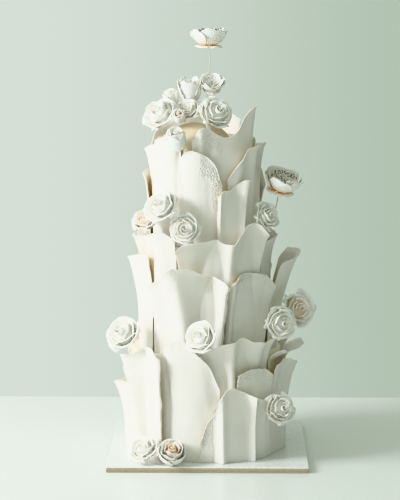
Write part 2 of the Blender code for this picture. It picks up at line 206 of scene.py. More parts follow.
@dataclass(frozen=True)
class Finish:
    """The base of every finish: its name and the helpers that wire its nodes."""

    name: str

    def start(self) -> tuple[bpy.types.Material, bpy.types.NodeTree, bpy.types.ShaderNode]:
        """Makes an empty node material with its Principled shader."""
        made = bpy.data.materials.new(self.name)
        made.use_nodes = True
        return made, made.node_tree, made.node_tree.nodes["Principled BSDF"]

    @staticmethod
    def noise(tree: bpy.types.NodeTree, scale: float, detail: float = 2.0) -> bpy.types.NodeSocket:
        """A noise pattern on object coordinates, as a value from 0 to 1."""
        place = tree.nodes.new("ShaderNodeTexCoord")
        noise = tree.nodes.new("ShaderNodeTexNoise")
        noise.inputs["Scale"].default_value = scale
        noise.inputs["Detail"].default_value = detail
        tree.links.new(place.outputs["Object"], noise.inputs["Vector"])
        return noise.outputs["Fac"]

    @staticmethod
    def ramp(tree: bpy.types.NodeTree, value: bpy.types.NodeSocket,
             stops: tuple[tuple[float, tuple[float, float, float]], ...]) -> bpy.types.NodeSocket:
        """A colour ramp through (place, colour) stops, driven by a value."""
        ramp = tree.nodes.new("ShaderNodeValToRGB")
        ramp.color_ramp.interpolation = "EASE"
        elements = ramp.color_ramp.elements
        while len(elements) < len(stops):
            elements.new(0.5)
        for element, (place, colour) in zip(elements, stops):
            element.position = place
            element.color = (*colour, 1.0)
        tree.links.new(value, ramp.inputs["Fac"])
        return ramp.outputs["Color"]

    @staticmethod
    def multiply(tree: bpy.types.NodeTree, first: bpy.types.NodeSocket,
                 second: bpy.types.NodeSocket) -> bpy.types.NodeSocket:
        """The product of two colours."""
        mix = tree.nodes.new("ShaderNodeMix")
        mix.data_type = "RGBA"
        mix.blend_type = "MULTIPLY"
        mix.inputs["Factor"].default_value = 1.0
        tree.links.new(first, mix.inputs[6])
        tree.links.new(second, mix.inputs[7])
        return mix.outputs[2]

    @staticmethod
    def bump(tree: bpy.types.NodeTree, height: bpy.types.NodeSocket, strength: float, depth: float,
             under: bpy.types.NodeSocket | None = None) -> bpy.types.NodeSocket:
        """A bump normal from a height value, on top of another bump where one is given."""
        bump = tree.nodes.new("ShaderNodeBump")
        bump.inputs["Strength"].default_value = strength
        bump.inputs["Distance"].default_value = depth
        tree.links.new(height, bump.inputs["Height"])
        if under is not None:
            tree.links.new(under, bump.inputs["Normal"])
        return bump.outputs["Normal"]


@dataclass(frozen=True)
class SugarPaste(Finish):
    """Rolled or cut sugar paste: matt ivory, a little translucent, with warm painted shade where it folds in on
    itself.
    """

    light: tuple[float, float, float] = (0.93, 0.90, 0.83)
    dark: tuple[float, float, float] = (0.90, 0.87, 0.79)
    # Painted shade: the warm colour multiplied in where other surfaces lie within reach, in metres.
    painted_crevice_shade: tuple[float, float, float] = (1.0, 0.85, 0.56)
    reach: float = 0.02
    roughness: float = 0.5
    glow: float = 0.2
    grain: float = 420.0
    blush: tuple[float, float, float] | None = None

    def build(self) -> bpy.types.Material:
        """Wires the material and returns it."""
        made, tree, shader = self.start()
        tone = self.ramp(tree, self.noise(tree, 22.0, 3.0), ((0.35, self.dark), (0.65, self.light)))
        if self.blush is not None:
            layer = tree.nodes.new("ShaderNodeAttribute")
            layer.attribute_name = "blush"
            warm = self.ramp(tree, layer.outputs["Fac"], ((0.0, (1.0, 1.0, 1.0)), (1.0, self.blush)))
            tone = self.multiply(tree, tone, warm)
        # Painted shade: ambient occlusion within reach darkens and warms the colour towards the crevice colour in
        # folds and gaps.
        occlusion = tree.nodes.new("ShaderNodeAmbientOcclusion")
        occlusion.samples = 12
        occlusion.inputs["Distance"].default_value = self.reach
        tint = self.ramp(tree, occlusion.outputs["AO"], ((0.05, self.painted_crevice_shade), (0.5, (1.0, 1.0, 1.0))))
        tree.links.new(self.multiply(tree, tone, tint), shader.inputs["Base Color"])
        hand = self.bump(tree, self.noise(tree, 75.0, 3.0), 0.12, 0.002)
        grain = self.bump(tree, self.noise(tree, self.grain, 2.0), 0.08, 0.0006, hand)
        tree.links.new(grain, shader.inputs["Normal"])
        shader.inputs["Roughness"].default_value = self.roughness
        shader.inputs["Specular IOR Level"].default_value = 0.35
        shader.inputs["Subsurface Weight"].default_value = self.glow
        shader.inputs["Subsurface Radius"].default_value = (1.0, 0.9, 0.8)
        shader.inputs["Subsurface Scale"].default_value = 0.003
        return made


@dataclass(frozen=True)
class CoveredBoard(Finish):
    """A cake board: white paper above and below, bare brown fibre at its edge."""

    paper: tuple[float, float, float] = (0.86, 0.87, 0.85)
    fibre: tuple[float, float, float] = (0.46, 0.39, 0.28)

    def build(self) -> bpy.types.Material:
        """Wires the material and returns it."""
        made, tree, shader = self.start()
        place = tree.nodes.new("ShaderNodeTexCoord")
        parts = tree.nodes.new("ShaderNodeSeparateXYZ")
        tree.links.new(place.outputs["Object"], parts.inputs["Vector"])
        height = tree.nodes.new("ShaderNodeMapRange")
        height.inputs["From Min"].default_value = 0.0
        height.inputs["From Max"].default_value = BOARD_TOP * MM
        tree.links.new(parts.outputs["Z"], height.inputs["Value"])
        layers = self.ramp(tree, height.outputs["Result"], (
            (0.0, self.paper), (0.05, self.fibre), (0.45, tuple(0.86 * c for c in self.fibre)),
            (0.55, tuple(1.15 * c for c in self.fibre)), (0.80, self.fibre), (0.84, self.paper)))
        speck = self.ramp(tree, self.noise(tree, 260.0, 4.0), ((0.3, (0.86, 0.86, 0.86)), (0.6, (1.0, 1.0, 1.0))))
        tree.links.new(self.multiply(tree, layers, speck), shader.inputs["Base Color"])
        tree.links.new(self.bump(tree, self.noise(tree, 180.0, 3.0), 0.15, 0.0006), shader.inputs["Normal"])
        shader.inputs["Roughness"].default_value = 0.34
        return made


@dataclass(frozen=True)
class PaperWire(Finish):
    """Florist's wire wound in white paper."""

    paper: tuple[float, float, float] = (0.72, 0.74, 0.70)

    def build(self) -> bpy.types.Material:
        """Wires the material and returns it."""
        made, tree, shader = self.start()
        place = tree.nodes.new("ShaderNodeTexCoord")
        winding = tree.nodes.new("ShaderNodeTexWave")
        winding.bands_direction = "Z"
        winding.inputs["Scale"].default_value = 120.0
        winding.inputs["Distortion"].default_value = 2.0
        tree.links.new(place.outputs["Object"], winding.inputs["Vector"])
        tone = self.ramp(tree, winding.outputs["Fac"],
                         ((0.2, tuple(0.85 * c for c in self.paper)), (0.7, self.paper)))
        tree.links.new(tone, shader.inputs["Base Color"])
        tree.links.new(self.bump(tree, winding.outputs["Fac"], 0.3, 0.0003), shader.inputs["Normal"])
        shader.inputs["Roughness"].default_value = 0.6
        return made


@dataclass(frozen=True)
class PlainGround(Finish):
    """The pale surface that the cake stands on."""

    colour: tuple[float, float, float] = (0.84, 0.86, 0.82)

    def build(self) -> bpy.types.Material:
        """Wires the material and returns it."""
        made, tree, shader = self.start()
        tone = self.ramp(tree, self.noise(tree, 3.0, 2.0),
                         ((0.3, tuple(0.97 * c for c in self.colour)), (0.7, self.colour)))
        tree.links.new(tone, shader.inputs["Base Color"])
        shader.inputs["Roughness"].default_value = 0.3
        return made


@dataclass(frozen=True)
class Fold:
    """A crest (out > 0) or a valley (out < 0) that runs up a sheet, as in the part's source."""

    at: float
    out: float
    wide: float = 0.12
    keep: float = 0.35
    foot_at: float | None = None


@dataclass(frozen=True)
class Lace:
    """A patch of pressed lace on a sheet: its spans across and up, its depth and how soft its border is."""

    across: tuple[float, float]
    up: tuple[float, float]
    deep: float = 1.2
    soft: float = 0.08


@dataclass(frozen=True)
class Sheet:
    """One ruffled sheet of sugar paste, as in the part's source, with its relief.

    ragged is how far its rim is torn up and down, and lip how far the rim rolls outwards.
    """

    name: str
    tier: int
    layer: int
    foot: float
    foot_span: tuple[float, float]
    rim_span: tuple[float, float]
    rim: tuple[float, ...]
    flare: float
    folds: tuple[Fold, ...] = ()
    hang: float = 0.35

    COARSE = 2.6
    THICK = 2.4

    def height(self, across: np.ndarray) -> np.ndarray:
        """The rim's height above the board's underside."""
        return smooth_through(self.rim, across)

    def stand_off(self, across: np.ndarray, up: np.ndarray) -> np.ndarray:
        """How far the outer side stands off the tier's wall."""
        wall = LAYER_STEP * (1 + self.layer)
        loose = np.maximum(0.0, up - self.hang) / (1 - self.hang)
        out = wall + self.flare * loose ** 2
        for fold in self.folds:
            foot_at = fold.at if fold.foot_at is None else fold.foot_at
            middle = foot_at + (fold.at - foot_at) * up
            depth = fold.out * (fold.keep + (1 - fold.keep) * up)
            out = out + depth * np.exp(-((across - middle) / fold.wide) ** 2)
        return np.maximum(out, wall)

    def seed(self) -> int:
        """A fixed number of this sheet's own."""
        return sum(ord(letter) * (k + 3) for k, letter in enumerate(self.name))

    def relief(self, wide: np.ndarray, up_mm: np.ndarray) -> np.ndarray:
        """The slow unevenness of paste rolled and draped by hand, in millimetres."""
        seed = self.seed()
        slow = 0.75 * soft_noise(wide / 17.0, up_mm / 75.0, seed)
        quick = 0.28 * soft_noise(wide / 6.5, up_mm / 30.0, seed + 5)
        return slow + quick

    @staticmethod
    def lace_height(x: np.ndarray, y: np.ndarray) -> np.ndarray:
        """A pressed lace of small rosettes and dots, from 0 to 1.

        Args:
            x: Places across the sheet, in millimetres.
            y: Places up the sheet, in millimetres.

        Returns:
            The relief's share of its full height.
        """
        cell = 7.2
        row = np.floor(y / cell)
        shifted = x + 0.5 * cell * (row % 2)
        dx = shifted - (np.floor(shifted / cell) + 0.5) * cell
        dy = y - (row + 0.5) * cell
        turn = np.arctan2(dy, dx)
        reach = np.hypot(dx, dy)
        petals = 2.45 + 0.7 * np.cos(5 * turn + row)
        ring = np.exp(-((reach - petals) / 0.7) ** 2)
        eye = np.exp(-(reach / 0.95) ** 2)
        corner = np.hypot(np.abs(dx) - 0.5 * cell, np.abs(dy) - 0.5 * cell)
        dots = np.exp(-(corner / 1.0) ** 2)
        return np.clip(ring + eye + 0.8 * dots, 0.0, 1.0)

    def points(self, across: np.ndarray, up: np.ndarray, patches: tuple[Lace, ...], ragged: float,
               lip: float) -> np.ndarray:
        """Places on the sheet's outer side, in metres, for equal arrays of shares across and up.

        Args:
            across: Shares of the width, 0 at the left.
            up: Shares of the height, 0 at the foot.
            patches: Patches of pressed lace on this sheet.
            ragged: How far the rim is torn up and down.
            lip: How far the rim rolls outwards.

        Returns:
            Rows of x, y, z.
        """
        seed = self.seed()
        radius = TIER_RADII[self.tier]
        at_foot = self.foot_span[0] + (self.foot_span[1] - self.foot_span[0]) * across
        at_rim = self.rim_span[0] + (self.rim_span[1] - self.rim_span[0]) * across
        bearing = at_foot + (at_rim - at_foot) * up
        tall = self.height(across) - self.foot
        wide = np.radians(bearing) * radius
        near_rim = ease(up, 0.86, 1.0)
        torn = 1.0 * soft_noise(wide / 9.0, 0.0, seed + 11) + 0.45 * soft_noise(wide / 3.2, 0.0, seed + 12)
        height = self.foot + tall * up + near_rim * (torn - 0.6) * ragged
        side = ease(np.abs(across - 0.5), 0.44, 0.5) * np.sign(across - 0.5)
        wavy = 0.9 * soft_noise(height / 14.0, 3.0, seed + 21) + 0.4 * soft_noise(height / 5.0, 7.0, seed + 22)
        bearing = bearing + np.degrees(side * (wavy - 0.7) / radius)
        out = self.stand_off(across, up) + self.relief(wide, height)
        from_rim = (1 - up) * tall
        roll = 0.55 + 0.45 * soft_noise(wide / 11.0, 1.0, seed + 31)
        out = out + lip * roll * np.exp(-(from_rim / 3.6) ** 1.5)
        pressed = np.zeros_like(out)
        for patch in patches:
            border = soft_noise(wide / 6.0, height / 6.0, seed + 41) * patch.soft
            mask = (ease(across, patch.across[0] - patch.soft, patch.across[0] + patch.soft)
                    * ease(across, patch.across[1] + patch.soft, patch.across[1] - patch.soft)
                    * ease(up + border, patch.up[0] - patch.soft, patch.up[0] + patch.soft)
                    * ease(up, patch.up[1] + patch.soft, patch.up[1] - patch.soft))
            pressed = np.maximum(pressed, patch.deep * mask)
        if patches:
            out = out + pressed * self.lace_height(wide, height)
        turn = np.radians(bearing)
        reach = radius + out
        return np.stack([CAKE_X + reach * np.sin(turn), -reach * np.cos(turn), height], axis=-1) * MM


@dataclass
class SheetMaker:
    """Builds the ruffled sheets and dresses them in sugar paste."""

    paste: bpy.types.Material
    lace: dict[str, tuple[Lace, ...]]
    ragged: dict[str, float]
    lips: dict[str, float]
    fine: float = 0.85
    rim_band: float = 9.0

    def grid(self, sheet: Sheet, patches: tuple[Lace, ...]) -> tuple[bpy.types.Object, np.ndarray, np.ndarray]:
        """Adds a flat grid for a sheet and gives its corners' shares across and up.

        Args:
            sheet: The sheet to make.
            patches: Its patches of lace, which need closer corners.

        Returns:
            The grid, and for each corner its share of the width and of the height.
        """
        width = math.radians(sheet.rim_span[1] - sheet.rim_span[0]) * (TIER_RADII[sheet.tier] + 8)
        tall = max(sheet.rim) - sheet.foot
        closer = sheet.COARSE / self.fine
        sides = [(p.across[0] - p.soft, p.across[1] + p.soft, closer) for p in patches]
        rises = [(p.up[0] - p.soft, p.up[1] + p.soft, closer) for p in patches]
        rises.append((1 - self.rim_band / tall, 1.0, closer * 0.9))
        rises.append((0.0, 2.0 / tall, 2.0))
        sides += [(0.0, 4.0 / width, 2.0), (1 - 4.0 / width, 1.0, 2.0)]
        counts = []
        for length, dense in ((width, sides), (tall, rises)):
            covered = np.zeros(1001)
            for low, high, times in dense:
                span = slice(max(0, int(low * 1000)), max(0, int(high * 1000)) + 1)
                covered[span] = np.maximum(covered[span], times - 1)
            counts.append(max(6, round(length / sheet.COARSE * (1 + covered.mean()))))
        deselect_all()
        bpy.ops.mesh.primitive_grid_add(x_subdivisions=counts[0], y_subdivisions=counts[1], size=1.0)
        made = bpy.context.object
        made.name = made.data.name = f"{sheet.name}_paste"
        flat = get_corners(made.data)
        columns, rows = np.unique(flat[:, 0].round(5)), np.unique(flat[:, 1].round(5))
        column_of = np.searchsorted(columns, flat[:, 0].round(5))
        row_of = np.searchsorted(rows, flat[:, 1].round(5))
        return (made, dense_shares(len(columns), tuple(sides))[column_of],
                dense_shares(len(rows), tuple(rises))[row_of])

    def make(self, sheet: Sheet) -> bpy.types.Object:
        """Builds one sheet: a grid draped to its form, then thickened, thin at its free edges."""
        patches = self.lace.get(sheet.name, ())
        made, across, up = self.grid(sheet, patches)
        places = sheet.points(across, up, patches, self.ragged.get(sheet.name, 1.0),
                              self.lips.get(sheet.name, 1.6))
        set_corners(made.data, places)
        width = math.radians(sheet.rim_span[1] - sheet.rim_span[0]) * TIER_RADII[sheet.tier]
        tall = sheet.height(across) - sheet.foot
        body = 0.38 + 0.62 * ease((1 - up) * tall, 0.0, 9.0)
        body *= 0.55 + 0.45 * ease((0.5 - np.abs(across - 0.5)) * width, 0.0, 5.0)
        group = made.vertex_groups.new(name="thickness")
        for step in np.unique(body.round(2)):
            chosen = np.nonzero(np.abs(body - step) <= 0.005)[0]
            if len(chosen):
                group.add(chosen.tolist(), float(step), "REPLACE")
        solid = made.modifiers.new("thickness", "SOLIDIFY")
        solid.thickness = sheet.THICK * MM
        solid.offset = -1.0
        solid.vertex_group = group.name
        solid.use_even_offset = False
        self.face_outwards(made)
        apply_modifiers(made)
        bpy.ops.object.shade_smooth_by_angle(angle=math.radians(55))
        made.data.materials.append(self.paste)
        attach(made, "root")
        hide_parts(sheet.name)
        return made

    @staticmethod
    def face_outwards(made: bpy.types.Object) -> None:
        """Turns the grid's faces so that they look away from the cake's axis."""
        face = made.data.polygons[len(made.data.polygons) // 2]
        outwards = Vector((face.center.x - CAKE_X * MM, face.center.y, 0.0))
        if face.normal.dot(outwards) < 0:
            make_active(made)
            bpy.ops.object.mode_set(mode="EDIT")
            bpy.ops.mesh.select_all(action="SELECT")
            bpy.ops.mesh.flip_normals()
            bpy.ops.object.mode_set(mode="OBJECT")


@dataclass(frozen=True)
class Mound:
    """The mound of icing that the top flowers are set in: its centre from the cake's axis, and its reach."""

    at: tuple[float, float, float] = (-14.0, -31.0, 477.0)
    reach: tuple[float, float, float] = (52.0, 40.0, 31.5)

    def unite(self, tier: bpy.types.Object) -> None:
        """Heaps the mound on a tier and unites the two.

        Args:
            tier: The tier that it stands on.
        """
        centre = Vector((self.at[0] + CAKE_X, self.at[1], self.at[2])) * MM
        deselect_all()
        bpy.ops.mesh.primitive_uv_sphere_add(segments=64, ring_count=32, radius=MM, location=centre,
                                             scale=self.reach)
        heap = bpy.context.object
        bpy.ops.object.transform_apply(location=True, scale=True)
        places = get_corners(heap.data)
        spread = 1 + 0.025 * soft_noise(places[:, 0] / MM / 11.0, places[:, 1] / MM / 11.0, 7)
        set_corners(heap.data, (places - np.array(centre)) * spread[:, None] + np.array(centre))
        union = tier.modifiers.new("mound", "BOOLEAN")
        union.operation = "UNION"
        union.object = heap
        apply_modifiers(tier)
        bpy.data.objects.remove(heap, do_unlink=True)


@dataclass(frozen=True)
class Tier:
    """One round tier of cake under its smooth icing."""

    name: str
    radius: float
    low: float
    high: float
    mound: Mound | None = None
    edge: float = 5.0
    sides: int = 144

    def make(self, paste: bpy.types.Material) -> bpy.types.Object:
        """Builds the tier from a cylinder with a rounded upper edge."""
        deselect_all()
        bpy.ops.mesh.primitive_cylinder_add(
            vertices=self.sides, radius=self.radius * MM, depth=(self.high - self.low) * MM,
            location=(CAKE_X * MM, 0, (self.low + self.high) / 2 * MM))
        made = bpy.context.object
        made.name = made.data.name = f"{self.name}_icing"
        bpy.ops.object.transform_apply(location=True)
        bpy.ops.object.mode_set(mode="EDIT")
        bpy.ops.mesh.select_mode(type="EDGE")
        bpy.ops.mesh.select_all(action="DESELECT")
        bpy.ops.object.mode_set(mode="OBJECT")
        corners = get_corners(made.data)
        for edge in made.data.edges:
            edge.select = all(corners[k][2] > (self.high - 1) * MM for k in edge.vertices)
        bpy.ops.object.mode_set(mode="EDIT")
        bpy.ops.mesh.bevel(offset=self.edge * MM, segments=6, profile=0.5)
        bpy.ops.object.mode_set(mode="OBJECT")
        if self.mound is not None:
            self.mound.unite(made)
            make_active(made)
        bpy.ops.object.shade_smooth_by_angle(angle=math.radians(40))
        made.data.materials.append(paste)
        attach(made, "root")
        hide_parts(self.name)
        return made


@dataclass(frozen=True)
class Whorl:
    """One ring of petals of a flower, in shares of the flower's size.

    count petals stand round the axis. Each leaves the stalk at (root, base), bellies out to belly of its reach and
    rises to (reach, tall). Its lip and shoulders roll out by curl, half is its half width in degrees, point draws
    out the middle of its lip, taper narrows it towards its tip, wave is how frilled and teeth how serrated its free
    edge is, and blush how warm its colour is at the root.
    """

    count: int
    root: float
    base: float
    reach: float
    tall: float
    half: float
    curl: float = 0.08
    wave: float = 0.02
    belly: float = 0.95
    shift: float = 0.0
    point: float = 0.03
    teeth: float = 0.0
    blush: float = 0.5
    taper: float = 0.05


@dataclass(frozen=True)
class Flower:
    """One sugar flower by its centre, its size and where it looks, as in the part's source."""

    name: str
    kind: Kind
    bearing: float
    out: float
    up: float
    size: float
    looks: float
    tips: float
    spin: float = 0.0

    def place(self) -> Matrix:
        """Where the flower's own axes lie in the cake."""
        turn = math.radians(self.bearing)
        spot = Vector((CAKE_X + self.out * math.sin(turn), -self.out * math.cos(turn), self.up)) * MM
        looking = Euler((math.radians(90 - self.tips), 0.0, math.radians(self.looks)), "XYZ").to_matrix().to_4x4()
        return Matrix.Translation(spot) @ looking

    def seed(self) -> int:
        """A fixed number of this flower's own."""
        return sum(ord(letter) * (k + 5) for k, letter in enumerate(self.name))


@dataclass(frozen=True)
class Heart:
    """The rolled strip at the heart of a flower: its turns, reach and height, and how far it opens at the top.

    core is the radius of the cone of paste that the petals are built round, and sunk how far its top lies under the
    strip's.
    """

    turns: float
    reach: float
    base: float
    tall: float
    flare: float = 0.03
    core: float = 0.19
    sunk: float = 0.07


@dataclass
class FlowerMaker:
    """Builds the sugar flowers petal by petal from one blank."""

    paste: bpy.types.Material
    dust: bpy.types.Material
    whorls: dict[Kind, tuple[Whorl, ...]]
    hearts: dict[Kind, Heart]
    middles: dict[Kind, float]
    forms: dict[str, Kind]
    threads: dict[str, int]
    warmth: dict[str, float]
    whole: tuple[np.ndarray, np.ndarray]
    thick: float = 0.8
    blank: bpy.types.Object | None = field(default=None, init=False)
    COLUMNS = 12
    ROWS = 9
    BLUSH = "blush"

    def cut_blank(self) -> None:
        """Adds the flat blank that every petal is shaped from."""
        deselect_all()
        bpy.ops.mesh.primitive_grid_add(x_subdivisions=self.COLUMNS, y_subdivisions=self.ROWS, size=2.0)
        self.blank = bpy.context.object
        self.blank.name = "petal_blank"

    def new_leaf(self, name: str) -> tuple[bpy.types.Object, np.ndarray, np.ndarray]:
        """Copies the blank and gives its corners' places across (-1 to 1) and up (0 to 1)."""
        leaf = self.blank.copy()
        leaf.data = self.blank.data.copy()
        leaf.name = name
        bpy.context.collection.objects.link(leaf)
        flat = get_corners(leaf.data)
        return leaf, flat[:, 0], (flat[:, 1] + 1) / 2

    def tint(self, leaf: bpy.types.Object, warm: np.ndarray) -> None:
        """Stores how warm each corner of a leaf is."""
        layer = leaf.data.attributes.new(self.BLUSH, "FLOAT", "POINT")
        layer.data.foreach_set("value", np.ascontiguousarray(warm, np.float32))

    @staticmethod
    def bezier(t: np.ndarray, *stops: float) -> np.ndarray:
        """A cubic curve through its first and last stop, drawn by the two between."""
        a, b, c, d = stops
        return a * (1 - t) ** 3 + 3 * b * t * (1 - t) ** 2 + 3 * c * t * t * (1 - t) + d * t ** 3

    def petal(self, whorl: Whorl, turn: float, seed: int, middle: float, size: float,
              warmth: float) -> bpy.types.Object:
        """Shapes one petal of a whorl.

        Args:
            whorl: The ring that the petal belongs to.
            turn: Its bearing round the flower's axis, in radians.
            seed: Picks its own unevenness.
            middle: The height of the flower's middle, as a share of its size.
            size: The flower's size, in millimetres.
            warmth: How strongly this flower blushes.

        Returns:
            The petal, in the flower's own axes, in metres.
        """
        leaf, s, t = self.new_leaf("petal")
        own = [float(lattice_value(np.array(seed), np.array(k), 9)) for k in range(4)]
        top = 1 - whorl.taper * s * s - 0.20 * s ** 6 + whorl.point * np.exp(-(s / 0.3) ** 2)
        u = t * top * (1 + 0.04 * own[0])
        reach, tall = whorl.reach * (1 + 0.05 * own[1]), whorl.tall * (1 + 0.06 * own[2])
        r = self.bezier(u, whorl.root, reach * whorl.belly, reach * 0.98, reach - 0.75 * whorl.curl)
        z = self.bezier(u, whorl.base, whorl.base + 0.02, whorl.base + 0.80 * (tall - whorl.base), tall)
        lip = ease(t, 0.62, 1.0) ** 1.6
        shoulder = ease(np.abs(s), 0.45, 1.0) * ease(t, 0.35, 0.85)
        r = r + whorl.curl * (0.75 * lip + 0.25 * shoulder)
        z = z - whorl.curl * (0.70 * lip ** 2 + 0.35 * shoulder)
        free = ease(t, 0.35, 1.0)
        r = r * (1 + (0.055 + 0.02 * own[3]) * s)
        r = r + whorl.wave * free * soft_noise(s * 2.2 + seed, t * 1.3, seed + 1)
        z = z + whorl.wave * free * soft_noise(s * 2.8 + seed, t * 1.1, seed + 2)
        z = z + whorl.teeth * ease(t, 0.8, 1.0) * lattice_value(np.round(s * 6).astype(int), np.array(1), seed)
        angle = turn + math.radians(whorl.half) * s * np.sin(np.pi * (0.16 + 0.50 * t)) ** 0.8
        places = np.stack([r * np.cos(angle), r * np.sin(angle), z - middle], axis=-1) * size * MM
        set_corners(leaf.data, places)
        self.tint(leaf, warmth * whorl.blush * ease(t, 0.85, 0.15))
        return leaf

    def heart(self, shape: Heart, seed: int, middle: float, size: float, warmth: float) -> bpy.types.Object:
        """Rolls the strip at the heart of a rose or bud into a spiral."""
        leaf, _, _ = self.new_leaf("heart")
        make_active(leaf)
        bpy.ops.object.mode_set(mode="EDIT")
        bpy.ops.mesh.select_all(action="SELECT")
        bpy.ops.mesh.subdivide(number_cuts=2)
        bpy.ops.object.mode_set(mode="OBJECT")
        flat = get_corners(leaf.data)
        s, t = (flat[:, 0] + 1) / 2, (flat[:, 1] + 1) / 2
        angle = 2 * np.pi * shape.turns * s + seed
        r = shape.reach * (0.10 + 0.90 * s) * (0.75 + 0.25 * np.sin(np.pi * (0.15 + 0.7 * t)))
        r = r * (1 + 0.10 * np.cos(2 * angle + seed)) + shape.flare * ease(t, 0.6, 1.0) * (0.4 + 0.6 * s)
        z = shape.base + (shape.tall - shape.base) * t * (1 - 0.07 * s)
        z = z + 0.02 * soft_noise(s * 7.0, t, seed) * t
        places = np.stack([r * np.cos(angle), r * np.sin(angle), z - middle], axis=-1) * size * MM
        set_corners(leaf.data, places)
        self.tint(leaf, warmth * (0.45 + 0.55 * ease(t, 0.95, 0.4)))
        return leaf

    def cone(self, shape: Heart, middle: float, size: float, warmth: float) -> bpy.types.Object:
        """Shapes the cone of paste that the petals of a rose or bud are built round."""
        leaf, s, t = self.new_leaf("cone")
        r = shape.core * np.sqrt(np.maximum(1 - t * t, 0.0))
        z = shape.base + (shape.tall - shape.sunk - shape.base) * t
        places = np.stack([r * np.cos(np.pi * s), r * np.sin(np.pi * s), z - middle], axis=-1) * size * MM
        set_corners(leaf.data, places)
        self.tint(leaf, warmth * np.ones_like(t))
        make_active(leaf)
        bpy.ops.object.mode_set(mode="EDIT")
        bpy.ops.mesh.select_all(action="SELECT")
        bpy.ops.mesh.remove_doubles(threshold=0.0002)
        bpy.ops.mesh.normals_make_consistent(inside=False)
        bpy.ops.object.mode_set(mode="OBJECT")
        return leaf

    def stamens(self, seed: int, middle: float, size: float, count: int) -> list[bpy.types.Object]:
        """Adds the threads and their dusted tips in the cup of a flower."""
        made = []
        for k in range(count):
            turn = 2.399963 * k
            lean = 0.05 + 0.27 * math.sqrt((k + 0.5) / count)
            foot = Vector((0.25 * lean * math.cos(turn), 0.25 * lean * math.sin(turn), 0.12 - middle)) * size * MM
            rise = 0.44 + 0.07 * float(lattice_value(np.array(k), np.array(2), seed))
            head = Vector((lean * math.cos(turn), lean * math.sin(turn), rise - middle)) * size * MM
            deselect_all()
            bpy.ops.mesh.primitive_cylinder_add(vertices=5, radius=0.008 * size * MM, depth=(head - foot).length,
                                                location=(foot + head) / 2,
                                                rotation=(head - foot).to_track_quat("Z", "Y").to_euler())
            thread = bpy.context.object
            thread.data.materials.append(self.paste)
            bpy.ops.mesh.primitive_ico_sphere_add(subdivisions=1, radius=0.021 * size * MM, location=head)
            tip = bpy.context.object
            tip.data.materials.append(self.dust)
            made += [thread, tip]
        return made

    @staticmethod
    def join(parts: list[bpy.types.Object], into: bpy.types.Object) -> bpy.types.Object:
        """Joins parts into one of them, keeping their places."""
        deselect_all()
        for part in parts:
            part.select_set(True)
        into.select_set(True)
        bpy.context.view_layer.objects.active = into
        bpy.ops.object.join()
        return bpy.context.object

    def make(self, flower: Flower) -> bpy.types.Object:
        """Builds one flower from its whorls, thickens its petals and sets it in its place."""
        kind, seed = self.forms.get(flower.name, flower.kind), flower.seed()
        middle = self.middles[kind]
        warmth = self.warmth.get(flower.name, 0.12)
        leaves = []
        for ring, whorl in enumerate(self.whorls[kind]):
            for k in range(whorl.count):
                turn = math.radians(flower.spin + whorl.shift) + 2 * math.pi * k / whorl.count
                leaves.append(self.petal(whorl, turn, seed + 17 * ring + 5 * k, middle, flower.size, warmth))
        if kind in self.hearts:
            leaves.append(self.heart(self.hearts[kind], seed, middle, flower.size, warmth))
            leaves.append(self.cone(self.hearts[kind], middle, flower.size, warmth))
        made = self.join(leaves[1:], leaves[0])
        made.name = made.data.name = f"{flower.name}_petals"
        made.data.materials.append(self.paste)
        solid = made.modifiers.new("thickness", "SOLIDIFY")
        solid.thickness = self.thick * MM
        solid.offset = 0.0
        smooth = made.modifiers.new("smooth", "SUBSURF")
        smooth.levels = smooth.render_levels = 1
        apply_modifiers(made)
        if kind is Kind.CUP:
            made = self.join(self.stamens(seed, middle, flower.size, self.threads.get(flower.name, 44)), made)
        made.data.transform(flower.place())
        self.fit(made, flower.name, self.whole)
        make_active(made)
        bpy.ops.object.shade_smooth()
        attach(made, "root")
        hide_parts(flower.name)
        return made

    @staticmethod
    def fit(made: bpy.types.Object, node: str, whole: tuple[np.ndarray, np.ndarray]) -> None:
        """Brings a flower's petals into the space that its solid holds.

        Args:
            made: The flower's petals, in place.
            node: The solid that they stand for.
            whole: The lowest and highest corner of the whole part, which no petal passes.
        """
        low, high = (np.array(corner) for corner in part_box(node))
        places = get_corners(made.data)
        lowest, highest = places.min(axis=0), places.max(axis=0)
        scale = float(np.mean((high - low) / (highest - lowest)))
        outermost = np.any(low - whole[0] < 3 * MM) or np.any(whole[1] - high < 3 * MM)
        if outermost:
            scale = float(np.min((high - low) / (highest - lowest)))
        centred = (places - (lowest + highest) / 2) * min(scale, 1.06)
        set_corners(made.data, centred + (low + high) / 2)


@dataclass(frozen=True)
class Wire:
    """The wire that carries a flower."""

    name: str
    points: tuple[tuple[float, float, float], ...]
    radius: float = 0.7

    def make(self, paper: bpy.types.Material) -> bpy.types.Object:
        """Draws the wire as a smooth path with a round section, then makes it a mesh."""
        deselect_all()
        bpy.ops.curve.primitive_bezier_curve_add(radius=MM)
        made = bpy.context.object
        made.name = f"{self.name}_paper"
        curve = made.data
        curve.splines.clear()
        spline = curve.splines.new("BEZIER")
        spline.bezier_points.add(len(self.points) - 1)
        for knot, point in zip(spline.bezier_points, self.points):
            knot.co = Vector((point[0] + CAKE_X, point[1], point[2])) * MM
            knot.handle_left_type = knot.handle_right_type = "AUTO"
        curve.bevel_depth = self.radius * MM
        curve.bevel_resolution = 3
        curve.resolution_u = 10
        curve.use_fill_caps = True
        bpy.ops.object.convert(target="MESH")
        made = bpy.context.object
        made.data.name = made.name
        bpy.ops.object.shade_smooth_by_angle(angle=math.radians(40))
        made.data.materials.append(paper)
        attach(made, "root")
        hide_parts(self.name)
        return made


